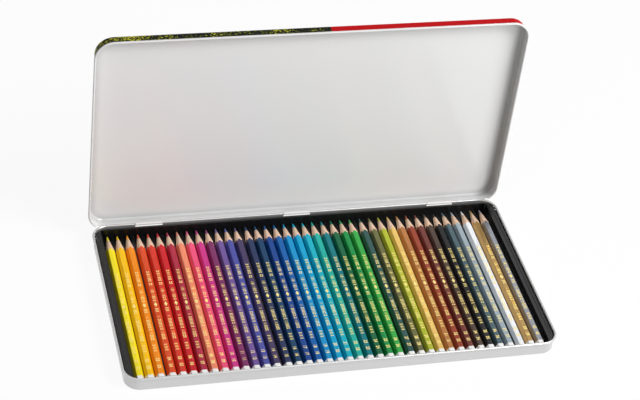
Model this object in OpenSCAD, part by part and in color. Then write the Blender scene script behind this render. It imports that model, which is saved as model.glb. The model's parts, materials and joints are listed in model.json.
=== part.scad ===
// Flat sheet-metal tin with a hinged slip-over lid, and a moulded insert that holds a row of
// hexagonal colour pencils. The tin lies flat, its lid open against the hinge's stop.
// Origin: centre of the tin's underside. +X is right, +Y is the hinge side, +Z is up.

/* [Pencils] */
// Distance across the flats of a hexagonal pencil
pencil_flats = 6.8; // [5.6:0.1:7]
// Whole length of a pencil
pencil_length = 175; // [140:1:212]
// Length of the sharpened end, up to where the flats are reached
point_length = 18; // [14:0.5:24]
// Diameter of the coloured lead
lead_d = 2.9; // [2:0.1:3.6]
// Radius of the lead's blunt tip
tip_r = 0.4; // [0.2:0.05:0.6]
// Centre distance of two neighbouring pencils
pencil_pitch = 8.2; // [8.2:0.1:10]
// Extra distance at each divider between two groups
divider_extra = 0.8; // [0.4:0.1:3]

/* [Base tin] */
// Height of the base, floor to the top of its rolled rim
rim_h = 13; // [9.5:0.5:20]
// Thickness of the tinplate
sheet = 0.3; // [0.25:0.01:0.36]
// Outer radius of every rolled rim
curl_r = 0.9; // [0.8:0.05:1.1]
// Radius of the corners over the rolled rim
corner_r = 14; // [9:0.5:14.5]
// Outer radius of the bend between the walls and the floor
bend_r = 1.2; // [0.8:0.1:1.5]
// Length of a snap bead on the front rim
bead_length = 24; // [12:1:40]
// How far a snap bead bulges out of the rim
bead_bulge = 0.15; // [0.1:0.01:0.2]
// Distance of the snap beads from the middle
bead_x = 144; // [60:1:146]

/* [Lid] */
// Depth of the lid, mouth to panel
lid_depth = 11; // [6:0.5:16]
// How far the shut lid reaches down over the base's rim
lid_overlap = 2.4; // [1.9:0.1:4]
// Clearance between the lid's skirt and the base's rim
lid_clear = 0.35; // [0.3:0.05:0.6]
// Outer radius of the bend between the lid's skirt and its panel
lid_bend_r = 2; // [1:0.1:3]
// Angle at which the open lid meets its stop
lid_open = 88.5; // [88:0.5:90]

/* [Hinge] */
// Width of a hinge tab
tab_w = 22; // [12:0.5:30]
// Distance of the outer hinge tabs from the middle one
tab_x = 126; // [60:1:135]
// Running clearance between a tab and the rolled rim it turns on
tab_clear = 0.1; // [0.08:0.01:0.15]
// Side clearance of a tab in its window
tab_side = 0.5; // [0.3:0.1:1]

/* [Insert] */
// Thickness of the moulded sheet
tray_sheet = 0.4; // [0.3:0.05:0.5]
// Clearance of a pencil over its channel
pencil_gap = 0.3; // [0.3:0.05:0.6]
// Height of the ridges between the pencils
ridge_rise = 1.6; // [1:0.1:2]
// Height of the dividers between the groups
divider_rise = 2.3; // [1.6:0.1:2.4]
// Width of the shelf along each side
shelf_w = 6.3; // [5.8:0.1:12]
// Width of the flange behind the points
back_flange = 1.6; // [1.4:0.1:4]
// Depth of the shelf under the top of the base's rim
shelf_drop = 2; // [1.6:0.1:3]
// Open slot between the insert's flange and the base's back wall
back_gap = 1.6; // [1.4:0.1:3]
// Space between the insert and the base's front and side walls, where the floor bends up
tray_fit = 0.9; // [0.9:0.1:2]
// Space between the pencils' points and the insert's back wall
tip_gap = 0.8; // [0.6:0.1:3]
// Space between the pencils' butts and the insert's front wall
butt_gap = 1.4; // [1.4:0.1:3]
// Space between the outer pencils and the insert's side walls
side_gap = 0.4; // [0.4:0.1:2]

/* [Hidden] */
$fn = 64;

// One pencil each: node name and colour of the lacquer
pencils = [
    ["pencil_01_lemon", "#f6e21e"], ["pencil_02_golden_yellow", "#fbc40f"],
    ["pencil_03_orange", "#f58d14"], ["pencil_04_vermilion", "#e3471f"],
    ["pencil_05_red", "#d92a26"], ["pencil_06_scarlet", "#cc1f28"],
    ["pencil_07_carmine", "#a81c3a"], ["pencil_08_salmon", "#f08e6c"],
    ["pencil_09_pink", "#ec4778"], ["pencil_10_magenta", "#c81f84"],
    ["pencil_11_purple", "#74255e"], ["pencil_12_lilac", "#6c4a92"],
    ["pencil_13_periwinkle", "#44469c"], ["pencil_14_aubergine", "#3f3156"],
    ["pencil_15_navy", "#1f2d50"], ["pencil_16_night_blue", "#12345c"],
    ["pencil_17_ultramarine", "#123a8c"], ["pencil_18_cobalt", "#0d53a8"],
    ["pencil_19_sky_blue", "#1a86cc"], ["pencil_20_cyan", "#0099cf"],
    ["pencil_21_turquoise", "#0c9cae"], ["pencil_22_sea_green", "#12998a"],
    ["pencil_23_teal", "#0d6c74"], ["pencil_24_forest_green", "#0c573c"],
    ["pencil_25_green", "#128a42"], ["pencil_26_light_green", "#34a446"],
    ["pencil_27_spruce", "#2f5450"], ["pencil_28_olive", "#5c6238"],
    ["pencil_29_lime_olive", "#a3ac28"], ["pencil_30_ochre", "#dfb35c"],
    ["pencil_31_brown_ochre", "#b06a34"], ["pencil_32_russet", "#96402a"],
    ["pencil_33_brown", "#6c3028"], ["pencil_34_dark_brown", "#4c3c34"],
    ["pencil_35_black", "#1c1c20"], ["pencil_36_slate", "#43606f"],
    ["pencil_37_blue_grey", "#93a9ba"], ["pencil_38_white", "#eef0f3"],
    ["pencil_39_gold", "#a88440"], ["pencil_40_silver", "#878b9c"]
];
// The insert's dividers stand after these pencils
divider_after = [3, 14, 26, 37];
last = len(pencils) - 1;

function dividers_before(i) = len([for (d = divider_after) if (i >= d) d]);
// Centre line of pencil i, counted from 0 at the left
function slot_x(i) = (i - last / 2) * pencil_pitch
    + (dividers_before(i) - len(divider_after) / 2) * divider_extra;
// Height of the ridge to the left of pencil i
function rise(i) = len([for (d = divider_after) if (i == d) d]) > 0 ? divider_rise : ridge_rise;

// Pencil and channel heights
hex_side = pencil_flats / sqrt(3);
channel_z = sheet + tray_sheet;
pencil_z = channel_z + pencil_gap + pencil_flats / 2;
channel_half = hex_side / 2 + pencil_gap * tan(30);

// The insert's walls, seen from the middle of the tin
tray_inner_x = slot_x(last) + hex_side + side_gap;
tray_outer_x = tray_inner_x + shelf_w;
tin_w = 2 * (tray_outer_x + tray_fit + 2 * curl_r);
front_stack = 2 * curl_r + tray_fit + tray_sheet + butt_gap;
back_stack = 2 * curl_r + back_gap + back_flange + tip_gap;
tin_d = pencil_length + front_stack + back_stack;
butt_y = front_stack - tin_d / 2;
tip_y = tin_d / 2 - back_stack;
tray_front_y = butt_y - butt_gap - tray_sheet;
tray_back_y = tip_y + tip_gap;
tray_rear_y = tray_back_y + back_flange;
shelf_z = rim_h - shelf_drop;
// Corner radius of the insert, on the same centre as the base's corner
inner_r = corner_r - 2 * curl_r - tray_fit;

// Hinge axis: the middle of the base's rear rolled rim
hinge_y = tin_d / 2 - curl_r;
hinge_z = rim_h - curl_r;
tab_r = curl_r + tab_clear;

// Shut lid: outline of the inside of its skirt
lid_w = tin_w + 2 * lid_clear;
lid_front_y = -tin_d / 2 - lid_clear;
lid_rear_y = hinge_y + tab_r;
lid_r = corner_r + lid_clear;
mouth_z = rim_h - lid_overlap;
lid_top = mouth_z + lid_depth;

// Rectangle with rounded corners, set on the middle
module rounded(w, d, r) {
    square([w - 2 * r, d], center = true);
    square([w, d - 2 * r], center = true);
    for (x = [-1, 1], y = [-1, 1])
        translate([x * (w / 2 - r), y * (d / 2 - r)]) circle(r);
}

// Straight run of a profile along +Y, the profile's x pointing to +X
module run(length) rotate([90, 0, 0]) linear_extrude(length, center = true) children();

// ---- base ----

// Rolled rim: a ring that is open on the side of quarter q, counted from the +X +Y one
module curl(q) {
    difference() {
        circle(curl_r);
        circle(curl_r - sheet);
        rotate(90 * q) square(2 * curl_r);
    }
}

// Bend in the sheet that turns from upright to flat, its outside at the right
module bend(r) {
    intersection() {
        difference() {
            circle(r);
            circle(r - sheet);
        }
        square(r);
    }
}

// Section of the base's wall, x = 0 at the outside of the rim
module base_section() {
    translate([-curl_r, rim_h - curl_r]) curl(2);
    translate([-2 * curl_r, bend_r]) square([sheet, rim_h - curl_r - bend_r]);
    translate([-2 * curl_r + sheet - bend_r, bend_r]) mirror([0, 1]) bend(bend_r);
}

// Bulge that snaps into the lid: the rim swells along its length and narrows again
module snap_bead() {
    translate([0, -hinge_y, hinge_z]) rotate([0, 90, 0])
        for (s = [0, 1]) mirror([0, 0, s])
            cylinder(h = bead_length / 2, r1 = curl_r + bead_bulge, r2 = curl_r - 0.05);
}

module base_tin() color("#d9dadc") {
    inset = 2 * curl_r - sheet + bend_r;
    difference() {
        union() {
            for (k = [0 : 3]) {
                across = k % 2 == 0 ? tin_w : tin_d;
                along = k % 2 == 0 ? tin_d : tin_w;
                rotate(90 * k) {
                    translate([across / 2, 0]) run(along - 2 * corner_r) base_section();
                    translate([across / 2 - corner_r, along / 2 - corner_r])
                        rotate_extrude(angle = 90) translate([corner_r, 0]) base_section();
                }
            }
            linear_extrude(sheet) rounded(tin_w - 2 * inset, tin_d - 2 * inset, corner_r - inset);
            for (s = [-1, 1]) translate([s * bead_x, 0]) snap_bead();
            // pips that hold the insert's shelves down, near the points
            for (s = [-1, 1], y = [5, 9])
                translate([s * (tin_w / 2 - 2 * curl_r + sheet / 2), tip_y - y, shelf_z + 0.5])
                    rotate([0, -90 * s, 0]) cylinder(h = tray_fit + 0.4, r = 0.4);
        }
        // windows for the hinge tabs, under the rolled rim
        for (x = [-tab_x, 0, tab_x])
            translate([x - tab_w / 2 - tab_side, hinge_y - 2 * curl_r, hinge_z - 2.3])
                cube([tab_w + 2 * tab_side, curl_r * 1.6, 2.3]);
    }
}

// ---- lid, drawn shut and then turned open ----

// Skirt and its bend up to the panel, x = 0 at the skirt's inside, lower edge at z
module skirt(z) {
    translate([0, z]) square([sheet, lid_top - lid_bend_r - z]);
    translate([sheet - lid_bend_r, lid_top - lid_bend_r]) bend(lid_bend_r);
}

module curled_skirt() {
    skirt(mouth_z + curl_r);
    translate([curl_r, mouth_z + curl_r]) curl(1);
}

// Hinge tab: strip of the skirt that wraps round the base's rolled rim
module hinge_tab() {
    translate([0, hinge_y, hinge_z]) rotate([90, 0, 90]) linear_extrude(tab_w, center = true)
        difference() {
            circle(tab_r + sheet);
            circle(tab_r);
            polygon([for (a = [0 : 29 : 145]) 3 * tab_r * [cos(a), sin(a)], [0, 0]]);
        }
}

module shut_lid() {
    depth = lid_rear_y - lid_front_y;
    mid_y = (lid_rear_y + lid_front_y) / 2;
    inset = lid_bend_r - sheet;
    end_y = lid_rear_y - lid_r * (1 - sin(56));
    difference() {
        union() {
            translate([0, mid_y]) {
                for (k = [0 : 3]) {
                    across = k % 2 == 0 ? lid_w : depth;
                    along = k % 2 == 0 ? depth : lid_w;
                    rotate(90 * k) {
                        translate([across / 2, 0]) run(along - 2 * lid_r) {
                            if (k == 1) skirt(hinge_z - curl_r + sheet + tab_clear);
                            else curled_skirt();
                        }
                        translate([across / 2 - lid_r, along / 2 - lid_r])
                            rotate_extrude(angle = 90) translate([lid_r, 0]) curled_skirt();
                    }
                }
                translate([0, 0, lid_top - sheet]) linear_extrude(sheet)
                    rounded(lid_w - 2 * inset, depth - 2 * inset, lid_r - inset);
            }
            for (x = [-tab_x, 0, tab_x]) translate([x, 0]) hinge_tab();
        }
        // at the rear corners the curl ends and the edge rises, so that it clears the base
        for (s = [0, 1]) mirror([s, 0])
            translate([lid_w / 2 - lid_r, end_y, mouth_z - 1]) cube([lid_r + 9, lid_r, hinge_z + 1.5 - mouth_z]);
    }
}

module lid_tin() color("#e4e4e6")
    translate([0, hinge_y, hinge_z]) rotate([-lid_open, 0, 0])
        translate([0, -hinge_y, -hinge_z]) shut_lid();

// ---- insert ----

// Section across the channels, from the left wall to the right one
module channel_section() {
    t = tray_sheet;
    // corner points of one side of the sheet, d below its upper side
    function side(d) = let (half = channel_half + d * tan(30), z = channel_z - d) concat(
        [[-tray_inner_x - t, z + ridge_rise]],
        [for (i = [0 : last], e = [-1, 1], s = [1, 0])
            let (h = e < 0 ? rise(i) : rise(i + 1), k = e < 0 ? s : 1 - s)
            [slot_x(i) + e * (half + k * h / tan(60)), z + k * h]],
        [[tray_inner_x + t, z + ridge_rise]]
    );
    low = side(t);
    polygon(concat(side(0), [for (i = [len(low) - 1 : -1 : 0]) low[i]]));
}

// Band of a wall, one sheet thick, that follows the outside of the shelf
module shelf_band(inset, w) {
    difference() {
        shelf_plan(inset);
        shelf_plan(inset + w);
    }
}

module shelf_plan(inset) {
    front = tray_front_y;
    translate([0, (tray_rear_y + front) / 2])
        rounded(2 * (tray_outer_x - inset), tray_rear_y - front - 2 * inset, inner_r - inset);
}

module insert_tray() color("#1b1b1d") {
    t = tray_sheet;
    wall_y = tray_back_y - tray_front_y;
    intersection() {
        union() {
            translate([0, (tray_front_y + tray_back_y + t) / 2, 0]) run(wall_y + t) channel_section();
            // front wall, round into the corners
            translate([0, 0, sheet]) linear_extrude(shelf_z - sheet) intersection() {
                shelf_band(0, t);
                translate([-tray_inner_x - 1 - t, tray_front_y]) square([2 * (tray_inner_x + 1 + t), inner_r]);
            }
            // back wall
            translate([-tray_inner_x - t, tray_back_y, sheet])
                cube([2 * (tray_inner_x + t), t, shelf_z - sheet]);
            // side walls with a step at half height
            for (s = [0, 1]) mirror([s, 0]) {
                step_z = channel_z + 4;
                translate([tray_inner_x, tray_front_y, channel_z + ridge_rise - t])
                    cube([t, wall_y + t, step_z - channel_z - ridge_rise + t]);
                translate([tray_inner_x, tray_front_y, step_z - t]) cube([1 + t, wall_y + t, t]);
                translate([tray_inner_x + 1, tray_front_y, step_z - t])
                    cube([t, wall_y + t, shelf_z - step_z + t]);
            }
            // shelf along the sides and the back, its rim turned down
            difference() {
                union() {
                    translate([0, 0, shelf_z - t]) linear_extrude(t) shelf_plan(0);
                    translate([0, 0, shelf_z - 2.4]) linear_extrude(2.4) shelf_band(0, t);
                }
                translate([-tray_inner_x - 1, tray_front_y + t, 0])
                    cube([2 * tray_inner_x + 2, wall_y - t, rim_h]);
            }
            // raised bead along each side shelf
            for (s = [-1, 1])
                translate([s * (tray_outer_x - 1.9), (tray_front_y + tray_rear_y) / 2, shelf_z])
                    rotate([90, 0, 0])
                        cylinder(h = tray_rear_y - tray_front_y - 2 * inner_r, r = 0.45, center = true);
        }
        linear_extrude(rim_h) shelf_plan(0);
    }
}

// ---- pencils ----

// Round envelope of the sharpening, along +Z with the butt at 0
module envelope(r) {
    grow = (pencil_flats / 2 - tip_r) / point_length;
    cone = (r - tip_r) / grow;
    cylinder(h = pencil_length - cone, r = r);
    translate([0, 0, pencil_length - cone]) cylinder(h = cone, r1 = r, r2 = tip_r);
}

// Hexagonal casing with its bored lead, flat side up
module pencil(i) color(pencils[i][1])
    translate([slot_x(i), butt_y, pencil_z]) rotate([-90, 0, 0]) {
        difference() {
            intersection() {
                cylinder(h = pencil_length, r = hex_side, $fn = 6);
                envelope(hex_side + 0.3);
            }
            translate([0, 0, 0.4]) cylinder(h = pencil_length, d = lead_d + 0.04);
        }
        translate([0, 0, 0.45]) intersection() {
            cylinder(h = pencil_length, d = lead_d);
            translate([0, 0, -0.45]) envelope(hex_side + 0.3);
        }
    }

base_tin();
lid_tin();
insert_tray();
for (i = [0 : last]) pencil(i);
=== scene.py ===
# %% [markdown]
# # A flat tin of forty colour pencils
# The tin lies open on a white table: a sheet-metal base with a rolled rim, a slip-over lid that
# stands upright on its hinge, a black moulded insert, and forty sharpened hexagonal pencils.
# The frame brings in the CAD model in metres. Its nodes stay where they are. This lesson gives
# them finishes, and makes the pencils anew with the detail that the plain solids don't have.

# %% Load the frame
import bpy
import json
import math
from mathutils import Matrix, Vector


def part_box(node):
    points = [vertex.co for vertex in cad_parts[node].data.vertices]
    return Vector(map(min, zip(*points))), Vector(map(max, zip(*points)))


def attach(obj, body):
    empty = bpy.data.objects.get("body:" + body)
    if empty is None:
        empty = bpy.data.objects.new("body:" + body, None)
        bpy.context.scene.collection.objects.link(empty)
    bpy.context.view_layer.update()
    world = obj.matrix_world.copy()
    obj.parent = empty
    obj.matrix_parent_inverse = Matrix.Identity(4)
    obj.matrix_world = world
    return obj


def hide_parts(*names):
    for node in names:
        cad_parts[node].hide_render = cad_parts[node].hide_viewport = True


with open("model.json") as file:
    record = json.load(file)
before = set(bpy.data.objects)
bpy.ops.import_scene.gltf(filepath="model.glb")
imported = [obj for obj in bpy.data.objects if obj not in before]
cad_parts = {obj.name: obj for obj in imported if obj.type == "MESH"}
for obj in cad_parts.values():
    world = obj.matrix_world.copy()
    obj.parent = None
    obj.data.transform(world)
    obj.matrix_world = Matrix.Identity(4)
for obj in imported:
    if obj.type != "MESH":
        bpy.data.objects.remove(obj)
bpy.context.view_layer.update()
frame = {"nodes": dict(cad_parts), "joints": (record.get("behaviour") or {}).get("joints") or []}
scene = bpy.context.scene
MM = 0.001

# %% [markdown]
# ## Two helpers
# Colours are written as sRGB hex values, as a paint maker would give them, and one function turns
# them to the linear numbers that shaders work in. One more function adds a node: its settings by
# name, and for each input either a value or the socket that feeds it.

# %% Colours and nodes
def linear(hex_colour):
    """Linear RGBA of an sRGB hex colour."""
    parts = [int(hex_colour[k:k + 2], 16) / 255 for k in (1, 3, 5)]
    return [c / 12.92 if c <= 0.04045 else ((c + 0.055) / 1.055) ** 2.4 for c in parts] + [1]


def add(tree, kind, inputs=(), **settings):
    """Adds a node to the tree. Inputs are (socket name or number, value or feeding socket)."""
    node = tree.nodes.new(kind)
    for name, value in settings.items():
        setattr(node, name, value)
    for key, value in inputs:
        if isinstance(value, bpy.types.NodeSocket):
            tree.links.new(value, node.inputs[key])
        else:
            node.inputs[key].default_value = value
    return node


# %% [markdown]
# ## The camera
# The photograph looks down at the tin from the front left, with a slight roll. A camera could be
# aimed by eye, but then nothing lines up in the end. Here its place, its angles and the long focal
# length, in pixels of a picture 640 wide, were worked out from the tin's corners in the picture.

# %% Camera
AZIMUTH, ELEVATION, ROLL = (math.radians(angle) for angle in (17.593, 38.114, 7.113))
PLACE = Vector((-375.8, -1153.7, 1049.15)) * MM
SENSOR, PICTURE_WIDTH, FOCAL_PIXELS = 36, 640, 1971.0
forward = Vector((math.sin(AZIMUTH) * math.cos(ELEVATION),
                  math.cos(AZIMUTH) * math.cos(ELEVATION), -math.sin(ELEVATION)))
level = Vector((math.cos(AZIMUTH), -math.sin(AZIMUTH), 0))
above = level.cross(forward)
right = math.cos(ROLL) * level + math.sin(ROLL) * above
up = -math.sin(ROLL) * level + math.cos(ROLL) * above
camera_data = bpy.data.cameras.new("studio camera")
camera_data.sensor_width = SENSOR
camera_data.lens = SENSOR * FOCAL_PIXELS / PICTURE_WIDTH
camera_data.clip_end = 50
camera = bpy.data.objects.new("studio camera", camera_data)
turned = Matrix((right, up, -forward)).transposed().to_4x4()
camera.matrix_world = Matrix.Translation(PLACE) @ turned
scene.collection.objects.link(camera)
scene.camera = camera
print("lens in mm:", round(camera_data.lens, 1))

# %% [markdown]
# ## The white room
# A product photographer lays such a tin on white paper, with a white room all round. The room
# could be built from walls, but an even world does the same. It is white where the camera, a gloss
# or glass looks at it, and dimmer for the light that it gives, so that the lamps shape the object.

# %% World
WHITE = (1, 1, 1, 1)
ROOM_LIGHT = 0.22


def sees_background(tree):
    """1 for rays from the camera, off a gloss or through glass, and 0 for rays that carry light."""
    path = add(tree, "ShaderNodeLightPath").outputs
    either = add(tree, "ShaderNodeMath", [(0, path["Is Camera Ray"]), (1, path["Is Glossy Ray"])],
                 operation="MAXIMUM")
    return add(tree, "ShaderNodeMath", [(0, either.outputs[0]), (1, path["Is Transmission Ray"])],
               operation="MAXIMUM").outputs[0]


world = bpy.data.worlds.new("white room")
world.use_nodes = True
scene.world = world
room = world.node_tree
room.nodes.clear()
strength = add(room, "ShaderNodeMapRange", [("Value", sees_background(room)),
                                            ("To Min", ROOM_LIGHT), ("To Max", 1.0)])
walls = add(room, "ShaderNodeBackground", [("Color", WHITE), ("Strength", strength.outputs[0])])
add(room, "ShaderNodeOutputWorld", [(0, walls.outputs[0])])
print("light of the room:", ROOM_LIGHT)

# %% [markdown]
# ## Two lamps
# A large soft box stands high to the right. It lights the top flats of the pencils and leaves
# their left flats dark, as in the photograph. Both lamps are wide areas, because a sun or a bulb
# would draw hard shadows. A weak reflector in front lifts the lid's inside.

# %% Lamps
AIM = Vector((0, 0, 0.05))
LAMPS = (("soft box", (1.5, -1.25, 1.75), 1.1, 69),
         ("front reflector", (1.2, -1.8, 0.35), 1.0, 13))
for name, place, size, watts in LAMPS:
    lamp = bpy.data.lights.new(name, "AREA")
    lamp.energy, lamp.size = watts, size
    holder = bpy.data.objects.new(name, lamp)
    holder.location = place
    holder.rotation_euler = (AIM - Vector(place)).to_track_quat("-Z", "Y").to_euler()
    scene.collection.objects.link(holder)
    print(name, "with", watts, "W")

# %% [markdown]
# ## The table
# The table is matt white paper, as far as the eye goes. Paper alone would come out grey and uneven
# under the lamps. So most of what the camera and reflections see is replaced by an even white, and
# the rest keeps the tin's faint shadow.

# %% Table
WHITE_SHARE = 0.93
REACH, SUNK = 6, 0.0002

white_table = bpy.data.materials.new("white table")
white_table.use_nodes = True
tree = white_table.node_tree
tree.nodes.clear()
paint = add(tree, "ShaderNodeBsdfDiffuse", [("Color", linear("#f2f2f2"))])
glow = add(tree, "ShaderNodeEmission", [("Color", WHITE), ("Strength", 1.0)])
share = add(tree, "ShaderNodeMath", [(0, sees_background(tree)), (1, WHITE_SHARE)],
            operation="MULTIPLY")
mixed = add(tree, "ShaderNodeMixShader", [(0, share.outputs[0]), (1, paint.outputs[0]),
                                          (2, glow.outputs[0])])
add(tree, "ShaderNodeOutputMaterial", [(0, mixed.outputs[0])])

table = bpy.data.objects.new("table", bpy.data.meshes.new("table"))
corners = [(x * REACH, y * REACH, -SUNK) for x, y in ((-1, -1), (1, -1), (1, 1), (-1, 1))]
table.data.from_pydata(corners, [], [(0, 1, 2, 3)])
table.data.materials.append(white_table)
scene.collection.objects.link(table)
print("table side in m:", 2 * REACH)

# %% [markdown]
# ## A material starts the same way
# Each finish is a Principled shader. The first function makes the material with its even values
# set on the shader's own sockets, and hands back the tree, so that the finish can add its pattern.
# The second one lets a pattern darken or lighten the colour, as most of the finishes need that.
# A noise has about one grain for each unit of its coordinates, so the third one works the pattern's
# scale out from the real width of a grain.

# %% Start of a material
def finish(name, colour, roughness, **even):
    """A new material with a Principled shader: the material, its tree and the shader."""
    made = bpy.data.materials.new(name)
    made.use_nodes = True
    shader = made.node_tree.nodes["Principled BSDF"]
    shader.inputs["Base Color"].default_value = linear(colour)
    shader.inputs["Roughness"].default_value = roughness
    for key, value in even.items():
        shader.inputs[key.replace("_", " ")].default_value = value
    return made, made.node_tree, shader


def toned(tree, shader, colour, tone):
    """The shader's colour is this linear colour times the tone."""
    tint = add(tree, "ShaderNodeMix", [("Factor", 1.0), (6, colour), (7, tone)],
               data_type="RGBA", blend_type="MULTIPLY")
    tree.links.new(tint.outputs[2], shader.inputs["Base Color"])
    return tint.outputs[2]


def grains(width):
    """Scale of a pattern whose grains are this many millimetres wide."""
    return 1 / (width * MM)


# %% [markdown]
# ## White lacquered tinplate
# The tin's inside and its curls carry a stoving lacquer on rolled sheet. The base's coat is thin,
# so that the tin shines through like silver. The lid's inside is a plain gloss white. Both have a
# very fine orange peel, a dimple every 1.5 mm or so, that only shows in how highlights waver, and
# wide clouds of gloss where the coat has flowed.
# Where the sheet folds in on itself, as under the curls and in the lid's corners, the colour is
# darkened as painted shade. An Ambient Occlusion node finds these places within a few millimetres.

# %% White lacquer on tinplate
def white_tinplate(name, colour, roughness, fold, darkest, metallic=0.0):
    """The fold is how far, in mm, a wall's painted shade reaches into its corner, and darkest is how
    much colour is left there.
    """
    made, tree, shader = finish(name, colour, roughness, Metallic=metallic)
    place = add(tree, "ShaderNodeTexCoord").outputs["Object"]
    hollow = add(tree, "ShaderNodeAmbientOcclusion", [("Distance", fold * MM)],
                 only_local=True, samples=16)
    # painted shade: the colour is darkened where the AO node finds a wall within the fold's reach
    painted_fold_shade = add(tree, "ShaderNodeMapRange", [("Value", hollow.outputs["AO"]),
                                            ("From Min", 0.2), ("From Max", 0.95),
                                            ("To Min", darkest), ("To Max", 1.0)])
    toned(tree, shader, linear(colour), painted_fold_shade.outputs[0])
    cloud = add(tree, "ShaderNodeTexNoise", [("Vector", place), ("Scale", grains(111)), ("Detail", 3)])
    gloss = add(tree, "ShaderNodeMapRange", [("Value", cloud.outputs["Fac"]),
                                             ("To Min", roughness - 0.02),
                                             ("To Max", roughness + 0.03)])
    tree.links.new(gloss.outputs[0], shader.inputs["Roughness"])
    peel = add(tree, "ShaderNodeTexNoise", [("Vector", place), ("Scale", grains(1.54)), ("Detail", 1)])
    bump = add(tree, "ShaderNodeBump", [("Strength", 0.03), ("Distance", 0.01 * MM),
                                        ("Height", peel.outputs["Fac"])])
    tree.links.new(bump.outputs[0], shader.inputs["Normal"])
    return made


base_white = white_tinplate("silver-white stoving lacquer on tinplate", "#cacaca", 0.24, 2, 0.2, 0.7)
lid_white = white_tinplate("white stoving lacquer inside the lid", "#d4d4d4", 0.12, 9, 0.45)
print("made:", base_white.name, "and", lid_white.name)

# %% [markdown]
# ## The printed outside of the lid
# The lid's outside is printed in the flat, before the sheet is pressed, under a thin matt varnish.
# The left part is near black, with specks of olive and yellow-green, 1 to 2 mm wide, that thicken
# to leafy patches of 20 to 40 mm. The right part is plain red. A print could be an image file, but
# two layers of noise give an ordinary mottle that has no motif and stays sharp from close by.

# %% Speckled part of the print
def speckled(tree, place, patch):
    """Near black to yellow-green, where a fine noise and a coarse one add up."""
    speck = add(tree, "ShaderNodeTexNoise", [("Vector", place), ("Scale", grains(1.613)),
                                             ("Detail", 3)])
    thick = add(tree, "ShaderNodeMapRange", [("Value", patch),
                                             ("From Min", 0.34), ("From Max", 0.66),
                                             ("To Min", -0.17), ("To Max", 0.1)])
    share = add(tree, "ShaderNodeMath", [(0, speck.outputs["Fac"]), (1, thick.outputs[0])],
                operation="ADD")
    ramp = add(tree, "ShaderNodeValToRGB", [("Fac", share.outputs[0])])
    stops = ramp.color_ramp.elements
    stops[0].position, stops[0].color = 0.44, linear("#030403")
    stops[1].position, stops[1].color = 0.66, linear("#d0c63c")
    for where, shade in ((0.51, "#151a06"), (0.57, "#5f6a14")):
        stops.new(where).color = linear(shade)
    return ramp.outputs["Color"]


# %% Printed tinplate
RED = "#c40a12"
SPLIT = 11 * MM

lid_print, tree, shader = finish("matt varnished print on tinplate", RED, 0.45,
                                 Specular_IOR_Level=0.06)
place = add(tree, "ShaderNodeTexCoord").outputs["Object"]
patch = add(tree, "ShaderNodeTexNoise", [("Vector", place), ("Scale", grains(35.7)),
                                         ("Detail", 2)]).outputs["Fac"]
ink = add(tree, "ShaderNodeMapRange", [("Value", patch), ("To Min", 0.94), ("To Max", 1.06)])
plain = toned(tree, shader, linear(RED), ink.outputs[0])
across = add(tree, "ShaderNodeSeparateXYZ", [(0, place)]).outputs[0]
side = add(tree, "ShaderNodeMath", [(0, across), (1, SPLIT)], operation="GREATER_THAN")
both = add(tree, "ShaderNodeMix", [(0, side.outputs[0]), (6, speckled(tree, place, patch)), (7, plain)],
           data_type="RGBA")
tree.links.new(both.outputs[2], shader.inputs["Base Color"])
print("made:", lid_print.name)

# %% [markdown]
# ## The black insert
# The insert is drawn from a warm sheet of black polystyrene over a mould. The film keeps a satin
# skin with a faint leathery grain from the mould's sandblasted face. The real grain is too fine to
# show, so it is drawn 0.5 mm wide. Where the film was stretched most it is a little glossier, in
# wide, soft patches.

# %% Black polystyrene
insert_black, tree, shader = finish("vacuum-formed black polystyrene", "#070708", 0.3)
place = add(tree, "ShaderNodeTexCoord").outputs["Object"]
grain = add(tree, "ShaderNodeTexNoise", [("Vector", place), ("Scale", grains(0.526)), ("Detail", 2)])
bump = add(tree, "ShaderNodeBump", [("Strength", 0.25), ("Distance", 0.05 * MM),
                                    ("Height", grain.outputs["Fac"])])
tree.links.new(bump.outputs[0], shader.inputs["Normal"])
stretch = add(tree, "ShaderNodeTexNoise", [("Vector", place), ("Scale", grains(25)), ("Detail", 2)])
gloss = add(tree, "ShaderNodeMapRange", [("Value", stretch.outputs["Fac"]),
                                         ("To Min", 0.24), ("To Max", 0.36)])
tree.links.new(gloss.outputs[0], shader.inputs["Roughness"])
print("made:", insert_black.name)

# %% [markdown]
# ## Soft edges on the CAD nodes
# The tins and the insert keep their CAD meshes, which have the right shape but come as loose
# triangles. They could be welded by hand in Edit Mode. Here a small node tree welds them and shades
# smoothly over every edge that turns less than 35 degrees, so that the rolled rims look round. It
# runs as a modifier, so the mesh itself isn't changed.

# %% Weld and smooth
WELD = 0.004 * MM
SHARP = math.radians(35)


def welded_tree():
    tree = bpy.data.node_groups.new("weld and smooth", "GeometryNodeTree")
    tree.interface.new_socket("Geometry", in_out="INPUT", socket_type="NodeSocketGeometry")
    tree.interface.new_socket("Geometry", in_out="OUTPUT", socket_type="NodeSocketGeometry")
    start = add(tree, "NodeGroupInput")
    bare = add(tree, "GeometryNodeRemoveAttribute", [(0, start.outputs[0]), ("Name", "custom_normal")])
    weld = add(tree, "GeometryNodeMergeByDistance", [(0, bare.outputs[0]), ("Distance", WELD)])
    faces = add(tree, "GeometryNodeSetShadeSmooth", [(0, weld.outputs[0]), ("Shade Smooth", True)],
                domain="FACE")
    turn = add(tree, "GeometryNodeInputMeshEdgeAngle")
    sharp = add(tree, "FunctionNodeCompare", [(0, turn.outputs[0]), (1, SHARP)],
                operation="GREATER_THAN")
    edges = add(tree, "GeometryNodeSetShadeSmooth", [(0, faces.outputs[0]),
                                                     ("Selection", sharp.outputs[0]),
                                                     ("Shade Smooth", False)], domain="EDGE")
    add(tree, "NodeGroupOutput", [(0, edges.outputs[0])])
    return tree


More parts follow.
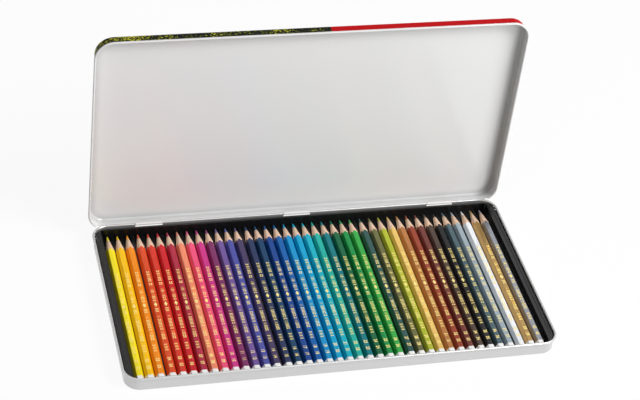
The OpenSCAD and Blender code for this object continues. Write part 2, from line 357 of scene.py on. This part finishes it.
# %% Finishes on the CAD nodes
FINISHES = {"base_tin": [base_white], "lid_tin": [lid_white, lid_print], "insert_tray": [insert_black]}
smoothing = welded_tree()
for name, finishes in FINISHES.items():
    node = frame["nodes"][name]
    node.data.materials.clear()
    for made in finishes:
        node.data.materials.append(made)
    modifier = node.modifiers.new("weld and smooth", "NODES")
    modifier.node_group = smoothing
    print(name, len(node.data.polygons), "triangles")

# %% [markdown]
# The lid has both finishes, so each of its triangles has to be on one side or the other. Each is
# turned about the hinge to where it is when the lid is shut. There the printed side is easy to
# tell: it is above the curl at the mouth, which stays white, and it faces up or outwards.

# %% Printed side of the lid
OVER_CURL = 12.5 * MM
lid = frame["nodes"]["lid_tin"]
hinge = next(joint for joint in frame["joints"] if joint["name"] == "lid_hinge")
pin = Vector(hinge["pos_m"])
shut = Matrix.Rotation(math.radians(hinge["range_deg"][0]), 3, Vector(hinge["axis"]))
printed = 0
for face in lid.data.polygons:
    middle = shut @ (face.center - pin) + pin
    turned = shut @ face.normal
    outward = Vector((middle.x, middle.y, 0)).normalized() + Vector((0, 0, 1))
    face.material_index = int(middle.z > OVER_CURL and turned.dot(outward) > 0)
    printed += face.material_index
print("printed triangles:", printed, "of", len(lid.data.polygons))

# %% [markdown]
# ## Finishes of a pencil
# A colour pencil shows five surfaces. Several coats of gloss lacquer in its own colour cover the
# flats. The end is dipped in white. The sharpener leaves bare incense cedar with fine cut marks
# round the cone, and a waxy, matt lead. The stamping is hot foil, a thin brassy gold.
# Patterns could read Object coordinates, but those start at the middle of the tin. They read the
# attribute "pencil_place" instead, each point's place on its own pencil, measured from the butt, so
# that fibres and cut marks stay the same wherever the pencil lies.

# %% Lacquer
def on_pencil(tree, stretch=(1, 1, 1)):
    """The place on the pencil, scaled along each direction."""
    place = add(tree, "ShaderNodeAttribute", attribute_name="pencil_place").outputs["Vector"]
    return add(tree, "ShaderNodeMapping", [("Vector", place), ("Scale", stretch)]).outputs[0]


def pencil_lacquer(name, colour, metallic):
    """Gloss lacquer: the coats lie a little thicker in places, so the tone wanders by 7 per cent."""
    made, tree, shader = finish(name, colour, 0.2, Metallic=metallic, Specular_IOR_Level=0.3)
    flow = add(tree, "ShaderNodeTexNoise", [("Vector", on_pencil(tree, (1, 0.12, 1))),
                                            ("Scale", grains(1.43)), ("Detail", 2)]).outputs["Fac"]
    tone = add(tree, "ShaderNodeMapRange", [("Value", flow),
                                            ("From Min", 0.3), ("From Max", 0.7),
                                            ("To Min", 0.93), ("To Max", 1.07)])
    toned(tree, shader, linear(colour), tone.outputs[0])
    bump = add(tree, "ShaderNodeBump", [("Strength", 0.08), ("Distance", 0.04 * MM), ("Height", flow)])
    tree.links.new(bump.outputs[0], shader.inputs["Normal"])
    return made


# %% [markdown]
# The lead is pressed from pigment, clay and wax. It is paler than the lacquer: a power below 1
# lifts each part of the linear colour.

# %% Lead
PALER = 0.75


def pencil_lead(name, colour):
    """Matt, with specks of 0.4 mm torn out by the blade."""
    made, tree, shader = finish(name, colour, 0.6)
    pale = [part ** PALER for part in linear(colour)]
    grit = add(tree, "ShaderNodeTexNoise", [("Vector", on_pencil(tree)), ("Scale", grains(0.385)),
                                            ("Detail", 2)]).outputs["Fac"]
    tone = add(tree, "ShaderNodeMapRange", [("Value", grit),
                                            ("From Min", 0.35), ("From Max", 0.65),
                                            ("To Min", 0.8), ("To Max", 1.1)])
    toned(tree, shader, pale, tone.outputs[0])
    return made


# %% [markdown]
# The cedar's fibres are noise drawn out along the pencil, 0.7 mm apart across it, in two tones of
# warm tan. The blade's cut marks run round the cone, every 0.75 mm, coarser than the real ones so
# that they show. They are a wave, which at a scale of 1 turns 20 radians for each unit.

# %% Wood
CUT_MARK = 0.748
WAVE_RADIANS = 20

cedar, tree, shader = finish("sharpened cedar", "#ecc8a8", 0.62)
fibre = add(tree, "ShaderNodeTexNoise", [("Vector", on_pencil(tree, (1, 0.06, 1))),
                                         ("Scale", grains(0.667)), ("Detail", 3)])
ramp = add(tree, "ShaderNodeValToRGB", [("Fac", fibre.outputs["Fac"])])
for stop, where, shade in zip(ramp.color_ramp.elements, (0.32, 0.62), ("#dcae8e", "#f8dcc2")):
    stop.position, stop.color = where, linear(shade)
tree.links.new(ramp.outputs["Color"], shader.inputs["Base Color"])
waves = math.tau / (WAVE_RADIANS * CUT_MARK * MM)
cut = add(tree, "ShaderNodeTexWave", [("Vector", on_pencil(tree)), ("Scale", waves),
                                      ("Distortion", 1.5)], bands_direction="Y")
bump = add(tree, "ShaderNodeBump", [("Strength", 0.3), ("Distance", 0.04 * MM),
                                    ("Height", cut.outputs["Fac"])])
tree.links.new(bump.outputs[0], shader.inputs["Normal"])
print("made:", cedar.name)

# %% [markdown]
# The dip is a thick, glossy coat that runs together into soft waves of 2 mm. The foil is smooth,
# but worn here and there, which shows as spots of 0.3 mm with a wider highlight.

# %% Dip and foil
white_dip, tree, shader = finish("white dip lacquer", "#f2f2f0", 0.22,
                                 Coat_Weight=0.7, Coat_Roughness=0.08)
pool = add(tree, "ShaderNodeTexNoise", [("Vector", on_pencil(tree)), ("Scale", grains(2)),
                                        ("Detail", 1)])
bump = add(tree, "ShaderNodeBump", [("Strength", 0.1), ("Distance", 0.06 * MM),
                                    ("Height", pool.outputs["Fac"])])
tree.links.new(bump.outputs[0], shader.inputs["Normal"])

gold_foil, tree, shader = finish("hot-stamped gold foil", "#ffe98e", 0.34, Metallic=0.25)
worn = add(tree, "ShaderNodeTexNoise", [("Vector", on_pencil(tree)), ("Scale", grains(0.3125)),
                                        ("Detail", 2)])
gloss = add(tree, "ShaderNodeMapRange", [("Value", worn.outputs["Fac"]),
                                         ("From Min", 0.3), ("From Max", 0.7),
                                         ("To Min", 0.28), ("To Max", 0.5)])
tree.links.new(gloss.outputs[0], shader.inputs["Roughness"])
print("made:", white_dip.name, "and", gold_foil.name)

# %% [markdown]
# ## The pencil as a tree of nodes
# A pencil could be modelled once and copied, but each has its own colour and number. All forty
# follow one rule, so one Geometry Nodes tree makes them. Its inputs have names and plain sizes, in
# millimetres here, so that the same tree also makes a thicker or a shorter pencil.

# %% Inputs of the tree
SIZES = {"Flats": 6.8, "Length": 175, "Point length": 18, "Lead radius": 1.45, "Tip radius": 0.4,
         "Edge radius": 0.55, "Dip length": 5.6, "Slot": 0, "Butt": 0, "Height": 0}
NUMBERS = {"Number": 1, "Seed": 7}


def pencil_inputs(tree):
    tree.interface.new_socket("Geometry", in_out="INPUT", socket_type="NodeSocketGeometry")
    for name, size in SIZES.items():
        socket = tree.interface.new_socket(name, in_out="INPUT", socket_type="NodeSocketFloat")
        socket.default_value = size * MM
    for name, number in NUMBERS.items():
        socket = tree.interface.new_socket(name, in_out="INPUT", socket_type="NodeSocketInt")
        socket.default_value = number
    for name in ("Lacquer", "Lead", "Wood", "Dip", "Foil"):
        tree.interface.new_socket(name, in_out="INPUT", socket_type="NodeSocketMaterial")
    tree.interface.new_socket("Geometry", in_out="OUTPUT", socket_type="NodeSocketGeometry")
    return add(tree, "NodeGroupInput").outputs


# %% [markdown]
# A prism cut by a cone would give the shape, but leaves long, thin triangles that catch the light
# badly. Instead a grid is rolled up: each row of the grid is a ring round the pencil, and each
# column a line along it. The hexagon with its rounded edges is a small curve that the columns are
# read from, six corners of five points, with each stretch between two points cut in three.

# %% Outline of the hexagon
CORNERS, CORNER_POINTS, STRETCH_CUTS = 6, 5, 3


def hexagon_outline(tree, given):
    corner = add(tree, "ShaderNodeMath", [(0, given["Flats"]), (1, 1 / math.sqrt(3))],
                 operation="MULTIPLY")
    hexagon = add(tree, "GeometryNodeCurvePrimitiveCircle", [("Resolution", CORNERS),
                                                             ("Radius", corner.outputs[0])])
    outline = add(tree, "GeometryNodeFilletCurve", [(0, hexagon.outputs[0]),
                                                    ("Count", CORNER_POINTS - 1),
                                                    ("Radius", given["Edge radius"])], mode="POLY")
    return add(tree, "GeometryNodeSubdivideCurve", [(0, outline.outputs[0]),
                                                    ("Cuts", STRETCH_CUTS - 1)]).outputs[0]


# %% [markdown]
# The rings are listed from the butt to the tip as pairs of place and radius: the domed butt, the
# dip, the lacquer, the wood, the lead and its blunt tip. The scalloped edge of the lacquer comes by
# itself: the cone reaches each line of the hexagon where the cone is as wide as the hexagon there.
# The dip stands slightly proud and ends in a thin lip, and the wood in a hair-thin rim.

# %% Rounding of both ends
DOME = ((0, 0), (0.03, 0.62), (0.18, 0.90), (0.55, 1.004))
BLUNT = ((-0.25, 1.08), (-0.05, 0.7), (0, 0))
LIP, PROUD_DIP, WOOD_RIM = 0.25, 1.014, 0.02
BODY_RINGS = 5
RINGS = len(DOME) + BODY_RINGS + len(BLUNT)
print("rings:", RINGS)

# %% Rings from butt to tip
def ring_table(tree, given, own):
    """Place along the pencil and radius of each ring; own is the radius of the hexagon's line."""
    half = add(tree, "ShaderNodeMath", [(0, given["Flats"]), (1, 0.5)], operation="MULTIPLY")
    rise = add(tree, "ShaderNodeMath", [(0, half.outputs[0]), (1, given["Tip radius"])],
               operation="SUBTRACT")
    slope = add(tree, "ShaderNodeMath", [(0, given["Point length"]), (1, rise.outputs[0])],
                operation="DIVIDE")

    def cone_place(radius):
        """How far from the butt the cone has this radius."""
        wider = add(tree, "ShaderNodeMath", [(0, radius), (1, given["Tip radius"])],
                    operation="SUBTRACT")
        back = add(tree, "ShaderNodeMath", [(0, wider.outputs[0]), (1, slope.outputs[0])],
                   operation="MULTIPLY")
        return add(tree, "ShaderNodeMath", [(0, given["Length"]), (1, back.outputs[0])],
                   operation="SUBTRACT").outputs[0]

    def share(socket, factor, plus=0.0):
        """The socket times a factor, plus some millimetres."""
        return add(tree, "ShaderNodeMath", [(0, socket), (1, factor), (2, plus * MM)],
                   operation="MULTIPLY_ADD").outputs[0]

    length, dip = given["Length"], given["Dip length"]
    lead, tip = given["Lead radius"], given["Tip radius"]
    butt = [(share(length, 0, place), share(own, wide)) for place, wide in DOME]
    point = [(share(length, 1, place), share(tip, wide)) for place, wide in BLUNT]
    return butt + [(share(dip, 1, -LIP), share(own, PROUD_DIP)),
                   (dip, own),
                   (cone_place(own), own),
                   (share(cone_place(lead), 1, -WOOD_RIM), share(lead, 1, WOOD_RIM)),
                   (cone_place(lead), lead)] + point


# %% [markdown]
# The grid has a row for each ring. It has one column more than the outline has points. The extra
# column lies on the first one and closes the skin.

# %% Rings and columns of the grid
COLUMNS = CORNERS * CORNER_POINTS * STRETCH_CUTS


def grid_place(tree):
    """The grid, and for each of its points the number of its ring and of its column."""
    row = COLUMNS + 1
    grid = add(tree, "GeometryNodeMeshGrid", [("Vertices X", RINGS), ("Vertices Y", row)]).outputs[0]
    index = add(tree, "GeometryNodeInputIndex").outputs[0]
    ring = add(tree, "ShaderNodeMath", [(0, index), (1, row)], operation="DIVIDE")
    ring = add(tree, "ShaderNodeMath", [(0, ring.outputs[0])], operation="FLOOR").outputs[0]
    column = add(tree, "ShaderNodeMath", [(0, index), (1, row)], operation="MODULO")
    column = add(tree, "ShaderNodeMath", [(0, column.outputs[0]), (1, COLUMNS)], operation="MODULO")
    return grid, ring, column.outputs[0]


# %% [markdown]
# Now each point of the grid gets its place. An Index Switch picks the values of the point's ring,
# the hexagon gives the direction, and the point moves there. Where points meet, at the two ends
# and along the closing column, they are merged.

# %% Values of a ring
def ring_values(tree, given, ring, own):
    """Each point's place along the pencil and its radius, by the number of its ring."""
    rows = ring_table(tree, given, own)
    picked = []
    for part in (0, 1):
        switch = add(tree, "GeometryNodeIndexSwitch", data_type="FLOAT")
        while len(switch.index_switch_items) < RINGS:
            switch.index_switch_items.new()
        tree.links.new(ring, switch.inputs[0])
        for k, row in enumerate(rows):
            tree.links.new(row[part], switch.inputs[k + 1])
        picked.append(switch.outputs[0])
    return picked


# %% Roll the grid up
SEAM = 0.002 * MM


def rolled_shape(tree, given):
    """The pencil's own skin, closed, with the number of each point's ring kept as "ring"."""
    grid, ring, column = grid_place(tree)
    where = add(tree, "GeometryNodeInputPosition").outputs[0]
    hexed = add(tree, "GeometryNodeSampleIndex", [(0, hexagon_outline(tree, given)), (1, where),
                                                  (2, column)],
                data_type="FLOAT_VECTOR", domain="POINT").outputs[0]
    own = add(tree, "ShaderNodeVectorMath", [(0, hexed)], operation="LENGTH").outputs["Value"]
    along, radius = ring_values(tree, given, ring, own)
    widen = add(tree, "ShaderNodeMath", [(0, radius), (1, own)], operation="DIVIDE")
    section = add(tree, "ShaderNodeVectorMath", [(0, hexed), ("Scale", widen.outputs[0])],
                  operation="SCALE")
    section = add(tree, "ShaderNodeSeparateXYZ", [(0, section.outputs[0])]).outputs
    place = add(tree, "ShaderNodeCombineXYZ", [("X", section[0]), ("Y", along), ("Z", section[1])])
    rolled = add(tree, "GeometryNodeSetPosition", [(0, grid), ("Position", place.outputs[0])])
    marked = add(tree, "GeometryNodeStoreNamedAttribute", [(0, rolled.outputs[0]), ("Name", "ring"),
                                                           (3, ring)],
                 data_type="FLOAT", domain="POINT")
    return add(tree, "GeometryNodeMergeByDistance", [(0, marked.outputs[0]),
                                                     ("Distance", SEAM)]).outputs[0]


# %% [markdown]
# The skin is smooth all round, with a crisp line on the rings where the dip, the lacquer and the
# wood end. Rings are counted from 0 at the butt, so these come after those of the dome.

# %% Crisp lines
DIP_END = len(DOME) + 1.0
LACQUER_END, WOOD_END = DIP_END + 1, DIP_END + 3


def crisp_shape(tree, shape, ring):
    shape = add(tree, "GeometryNodeSetShadeSmooth", [(0, shape), ("Shade Smooth", True)],
                domain="FACE").outputs[0]
    for line in (DIP_END, LACQUER_END, WOOD_END):
        here = add(tree, "FunctionNodeCompare", [(0, ring), (1, line), ("Epsilon", 0.1)],
                   operation="EQUAL")
        shape = add(tree, "GeometryNodeSetShadeSmooth", [(0, shape), ("Selection", here.outputs[0]),
                                                         ("Shade Smooth", False)],
                    domain="EDGE").outputs[0]
    return shape


# %% [markdown]
# ## The stamping
# A stamped line runs along the top flat. Here it is plain: the pencil's number in the set, twice,
# a lozenge half-way, and a row of small marks in groups, which are instances of three shapes that a
# fixed seed picks from. All are thin plates, 0.02 to 0.034 mm proud of the lacquer. The marks are
# closed boxes. The digits and the lozenge are extruded faces, which leaves them without an
# underside, and the digits with thin walls inside.

# %% Three marks
PROUD = 0.02 * MM
BOX, STROKE = (2.1 * MM, 1.15 * MM), 0.52 * MM
BAR = (2.6 * MM, 0.72 * MM, PROUD)
DOT, DOT_ASIDE = (1.0 * MM, 1.05 * MM, PROUD), 0.75 * MM


def mark_shapes(tree):
    """An open box, a bar across the pencil and a pair of dots, each an instance."""
    outline = add(tree, "GeometryNodeCurvePrimitiveQuadrilateral", [("Width", BOX[0]),
                                                                    ("Height", BOX[1])])
    rod = add(tree, "GeometryNodeCurvePrimitiveQuadrilateral", [("Width", PROUD), ("Height", STROKE)])
    box = add(tree, "GeometryNodeCurveToMesh", [(0, outline.outputs[0]), (1, rod.outputs[0])])
    bar = add(tree, "GeometryNodeMeshCube", [("Size", BAR)])
    dot = add(tree, "GeometryNodeMeshCube", [("Size", DOT)])
    pair = add(tree, "GeometryNodeJoinGeometry")
    for side in (-DOT_ASIDE, DOT_ASIDE):
        moved = add(tree, "GeometryNodeTransform", [(0, dot.outputs[0]), ("Translation", (side, 0, 0))])
        tree.links.new(moved.outputs[0], pair.inputs[0])
    shapes = add(tree, "GeometryNodeJoinGeometry")
    for shape in (box, bar, pair):
        single = add(tree, "GeometryNodeGeometryToInstance", [(0, shape.outputs[0])])
        tree.links.new(single.outputs[0], shapes.inputs[0])
    return shapes.outputs[0]


# %% [markdown]
# The row is a line of points with some left out. Two rules part the groups: each holds a period,
# a shift and the remainder below which a point is left out. A third one makes room for the lozenge.

# %% Row of marks
COUNT, STEP, FIRST = 59, 1.6 * MM, 31.0 * MM
GROUPS = ((9.0, 4.0, 0.5), (20.0, 15.0, 2.5))
ROOM_AT, ROOM_HALF = 33.0, 2.5


def left_out(tree):
    """True for the points of the row that carry no mark."""
    index = add(tree, "GeometryNodeInputIndex").outputs[0]
    none = add(tree, "FunctionNodeCompare", [(0, index), (1, ROOM_AT), ("Epsilon", ROOM_HALF)],
               operation="EQUAL").outputs[0]
    for period, shift, below in GROUPS:
        moved = add(tree, "ShaderNodeMath", [(0, index), (1, shift)], operation="ADD")
        turn = add(tree, "ShaderNodeMath", [(0, moved.outputs[0]), (1, period)], operation="MODULO")
        less = add(tree, "FunctionNodeCompare", [(0, turn.outputs[0]), (1, below)],
                   operation="LESS_THAN")
        none = add(tree, "FunctionNodeBooleanMath", [(0, none), (1, less.outputs[0])],
                   operation="OR").outputs[0]
    return none


def mark_row(tree, given, top):
    """Marks every 1.6 mm from 31 to 124 mm, each picked at random from the three shapes."""
    start = add(tree, "ShaderNodeCombineXYZ", [("Y", FIRST), ("Z", top)])
    row = add(tree, "GeometryNodeMeshLine", [("Count", COUNT), ("Start Location", start.outputs[0]),
                                             ("Offset", (0, STEP, 0))]).outputs[0]
    row = add(tree, "GeometryNodeDeleteGeometry", [(0, row), (1, left_out(tree))],
              domain="POINT").outputs[0]
    pick = add(tree, "FunctionNodeRandomValue", [(4, 0), (5, 2), ("Seed", given["Seed"])],
               data_type="INT")
    return add(tree, "GeometryNodeInstanceOnPoints", [(0, row), ("Instance", mark_shapes(tree)),
                                                      ("Pick Instance", True),
                                                      ("Instance Index", pick.outputs[2])]).outputs[0]


# %% [markdown]
# The number is written with Blender's own typeface, which needs no file. A single digit gets a
# zero before it, so that all forty numbers are equally wide.

# %% Digits
DIGIT_SIZE = 3.6 * MM
LAST_SINGLE = 9.5


def digits(tree, given):
    """Two digits, filled and as thick as the foil."""
    single = add(tree, "ShaderNodeMath", [(0, given["Number"]), (1, LAST_SINGLE)],
                 operation="LESS_THAN")
    zero = add(tree, "GeometryNodeSwitch", [(0, single.outputs[0]), (1, ""), (2, "0")],
               input_type="STRING")
    plain = add(tree, "FunctionNodeValueToString", [(0, given["Number"])], data_type="INT")
    number = add(tree, "GeometryNodeStringJoin")
    tree.links.new(plain.outputs[0], number.inputs[1])
    tree.links.new(zero.outputs[0], number.inputs[1])
    text = add(tree, "GeometryNodeStringToCurves", [(0, number.outputs[0]), ("Size", DIGIT_SIZE)],
               align_x="CENTER", align_y="MIDDLE")
    text = add(tree, "GeometryNodeFillCurve", [(0, text.outputs[0])])
    return add(tree, "GeometryNodeExtrudeMesh", [(0, text.outputs[0]),
                                                 ("Offset Scale", PROUD)]).outputs[0]


# %% [markdown]
# The lozenge half-way is a square of four points, set on its corner and drawn out along the pencil.

# %% Lozenge
LOZENGE_RADIUS, LOZENGE_STRETCH, LOZENGE_AT = 1.3 * MM, 2.2, 84 * MM


def lozenge(tree, top):
    plate = add(tree, "GeometryNodeMeshCircle", [("Vertices", 4), ("Radius", LOZENGE_RADIUS)],
                fill_type="NGON")
    plate = add(tree, "GeometryNodeExtrudeMesh", [(0, plate.outputs[0]), ("Offset Scale", PROUD / 2)])
    middle = add(tree, "ShaderNodeCombineXYZ", [("Y", LOZENGE_AT), ("Z", top)])
    return add(tree, "GeometryNodeTransform", [(0, plate.outputs[0]),
                                               ("Translation", middle.outputs[0]),
                                               ("Scale", (1, LOZENGE_STRETCH, 1))]).outputs[0]


# %% [markdown]
# The number stands across the flat, at two places near the butt. Each is made bold by two copies
# moved aside, a few thousandths of a millimetre apart in height so that their faces don't coincide.

# %% Stamped line
NUMBER_AT = (13.5 * MM, 21.0 * MM)
BOLD = ((-0.2 * MM, 0.002 * MM), (0.0, 0.0), (0.2 * MM, 0.004 * MM))
FOIL_RING = 20.0


def stamping(tree, given):
    """Marks, lozenge and numbers on the top flat."""
    top = add(tree, "ShaderNodeMath", [(0, given["Flats"]), (1, 0.5), (2, PROUD / 2)],
              operation="MULTIPLY_ADD").outputs[0]
    line = add(tree, "GeometryNodeJoinGeometry")
    tree.links.new(mark_row(tree, given, top), line.inputs[0])
    tree.links.new(lozenge(tree, top), line.inputs[0])
    text = digits(tree, given)
    for place in NUMBER_AT:
        for aside, lift in BOLD:
            raised = add(tree, "ShaderNodeMath", [(0, top), (1, lift)], operation="ADD")
            spot = add(tree, "ShaderNodeCombineXYZ", [("X", aside), ("Y", place),
                                                      ("Z", raised.outputs[0])])
            turned = add(tree, "GeometryNodeTransform", [(0, text), ("Translation", spot.outputs[0]),
                                                         ("Rotation", (0, 0, math.radians(-90)))])
            tree.links.new(turned.outputs[0], line.inputs[0])
    real = add(tree, "GeometryNodeRealizeInstances", [(0, line.outputs[0])])
    flat = add(tree, "GeometryNodeSetShadeSmooth", [(0, real.outputs[0]), ("Shade Smooth", False)],
               domain="FACE")
    return add(tree, "GeometryNodeStoreNamedAttribute", [(0, flat.outputs[0]), ("Name", "ring"),
                                                         (3, FOIL_RING)],
               data_type="FLOAT", domain="POINT").outputs[0]


# %% [markdown]
# ## All of the tree
# Skin and stamping are joined, keep their place on the pencil for the materials, and are laid in
# the pencil's slot. The tree ends in Realize Instances and the materials, set by ring: each line
# below gives its material to all that lies past a ring, and the foil has a number of its own.

# %% The whole pencil
COVERS = (("Dip", 0.0), ("Lacquer", DIP_END), ("Wood", LACQUER_END), ("Lead", WOOD_END),
          ("Foil", FOIL_RING - 1))


def pencil_tree():
    tree = bpy.data.node_groups.new("sharpened hexagonal pencil", "GeometryNodeTree")
    given = pencil_inputs(tree)
    ring = add(tree, "GeometryNodeInputNamedAttribute", [("Name", "ring")],
               data_type="FLOAT").outputs[0]
    whole = add(tree, "GeometryNodeJoinGeometry")
    tree.links.new(stamping(tree, given), whole.inputs[0])
    tree.links.new(crisp_shape(tree, rolled_shape(tree, given), ring), whole.inputs[0])
    where = add(tree, "GeometryNodeInputPosition").outputs[0]
    spot = add(tree, "GeometryNodeStoreNamedAttribute", [(0, whole.outputs[0]),
                                                         ("Name", "pencil_place"), (3, where)],
               data_type="FLOAT_VECTOR", domain="POINT")
    lie = add(tree, "ShaderNodeCombineXYZ", [("X", given["Slot"]), ("Y", given["Butt"]),
                                             ("Z", given["Height"])])
    laid = add(tree, "GeometryNodeTransform", [(0, spot.outputs[0]), ("Translation", lie.outputs[0])])
    shape = add(tree, "GeometryNodeRealizeInstances", [(0, laid.outputs[0])]).outputs[0]
    for name, last in COVERS:
        past = add(tree, "FunctionNodeCompare", [(0, ring), (1, last)], operation="GREATER_THAN")
        shape = add(tree, "GeometryNodeSetMaterial", [(0, shape), ("Selection", past.outputs[0]),
                                                      ("Material", given[name])]).outputs[0]
    add(tree, "NodeGroupOutput", [(0, shape)])
    return tree


pencil_rule = pencil_tree()
print("nodes in the pencil's tree:", len(pencil_rule.nodes))

# %% [markdown]
# ## Forty pencils
# The list gives each pencil's node in the CAD model and its lacquer, in the order of the row, from
# yellow over red, blue and green to brown, black, white and the two metal colours. Each lacquer
# was chosen by judgement and then corrected until the rendered flats looked like the real ones.

# %% Colours in order
COLOURS = {
    "01_lemon": "#f6e21e", "02_golden_yellow": "#fbc40f", "03_orange": "#f58d14",
    "04_vermilion": "#dc4e26", "05_red": "#d83828", "06_scarlet": "#cc1f28",
    "07_carmine": "#ae2a42", "08_salmon": "#f08e6c", "09_pink": "#ee527c",
    "10_magenta": "#cc3488", "11_purple": "#7a2e62", "12_lilac": "#6c5296",
    "13_periwinkle": "#4c50a0", "14_aubergine": "#463a60", "15_navy": "#26345a",
    "16_night_blue": "#123e64", "17_ultramarine": "#12428c", "18_cobalt": "#085ca6",
    "19_sky_blue": "#0a8ec6", "20_cyan": "#009ecb", "21_turquoise": "#0cabbf",
    "22_sea_green": "#1cab9e", "23_teal": "#0c767e", "24_forest_green": "#0c623e",
    "25_green": "#128a42", "26_light_green": "#34a446", "27_spruce": "#2f5450",
    "28_olive": "#68693e", "29_lime_olive": "#adb42e", "30_ochre": "#e4bc66",
    "31_brown_ochre": "#b47640", "32_russet": "#96402a", "33_brown": "#703630",
    "34_dark_brown": "#4c3c34", "35_black": "#1c1c20", "36_slate": "#4a6068",
    "37_blue_grey": "#9ba9b2", "38_white": "#eef0f3", "39_gold": "#b8955c",
    "40_silver": "#9a9ca4",
}
print("colours:", len(COLOURS))

# %% [markdown]
# A modifier on a blank object runs the tree. Its inputs are set by their identifiers before it is
# evaluated. The result is copied to a mesh of its own, and the blank object goes, so that no live
# modifier is left on the pencil.

# %% Run the tree
SOCKETS = {item.name: item.identifier for item in pencil_rule.interface.items_tree
           if item.in_out == "INPUT"}


def pencil_mesh(name, values):
    """The tree's shape for these values of its inputs, as a plain mesh."""
    blank = bpy.data.objects.new("blank", bpy.data.meshes.new("blank"))
    scene.collection.objects.link(blank)
    modifier = blank.modifiers.new("pencil", "NODES")
    modifier.node_group = pencil_rule
    for key, value in values.items():
        modifier[SOCKETS[key]] = value
    evaluated = bpy.context.evaluated_depsgraph_get()
    mesh = bpy.data.meshes.new_from_object(blank.evaluated_get(evaluated), depsgraph=evaluated)
    mesh.name = name
    bpy.data.objects.remove(blank)
    return mesh


# %% [markdown]
# Each pencil lies where its CAD node does: in the middle of the node's width and height, with the
# butt at its front end. Gold and silver have metal powder in their lacquer, so they are partly
# Metallic.

# %% Make each pencil
POWDER = {"gold": 0.6, "silver": 0.6}
total = 0
for i, (label, colour) in enumerate(COLOURS.items()):
    colour_name = label[3:]
    low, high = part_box("pencil_" + label)
    mesh = pencil_mesh("coloured_pencil_" + label, {
        "Slot": (low.x + high.x) / 2, "Butt": low.y, "Height": (low.z + high.z) / 2,
        "Number": i + 1, "Wood": cedar, "Dip": white_dip, "Foil": gold_foil,
        "Lacquer": pencil_lacquer(colour_name + " lacquer", colour, POWDER.get(colour_name, 0.0)),
        "Lead": pencil_lead(colour_name + " lead", colour)})
    pencil = bpy.data.objects.new("coloured_pencil_" + label, mesh)
    scene.collection.objects.link(pencil)
    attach(pencil, "pencil_" + label + "_body")
    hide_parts("pencil_" + label)
    total += len(mesh.polygons)
print("pencils:", len(COLOURS), "with", total, "faces")

# %% [markdown]
# ## View settings
# The Standard view shows a colour as it is written.

# %% Finish
scene.view_settings.view_transform = "Standard"
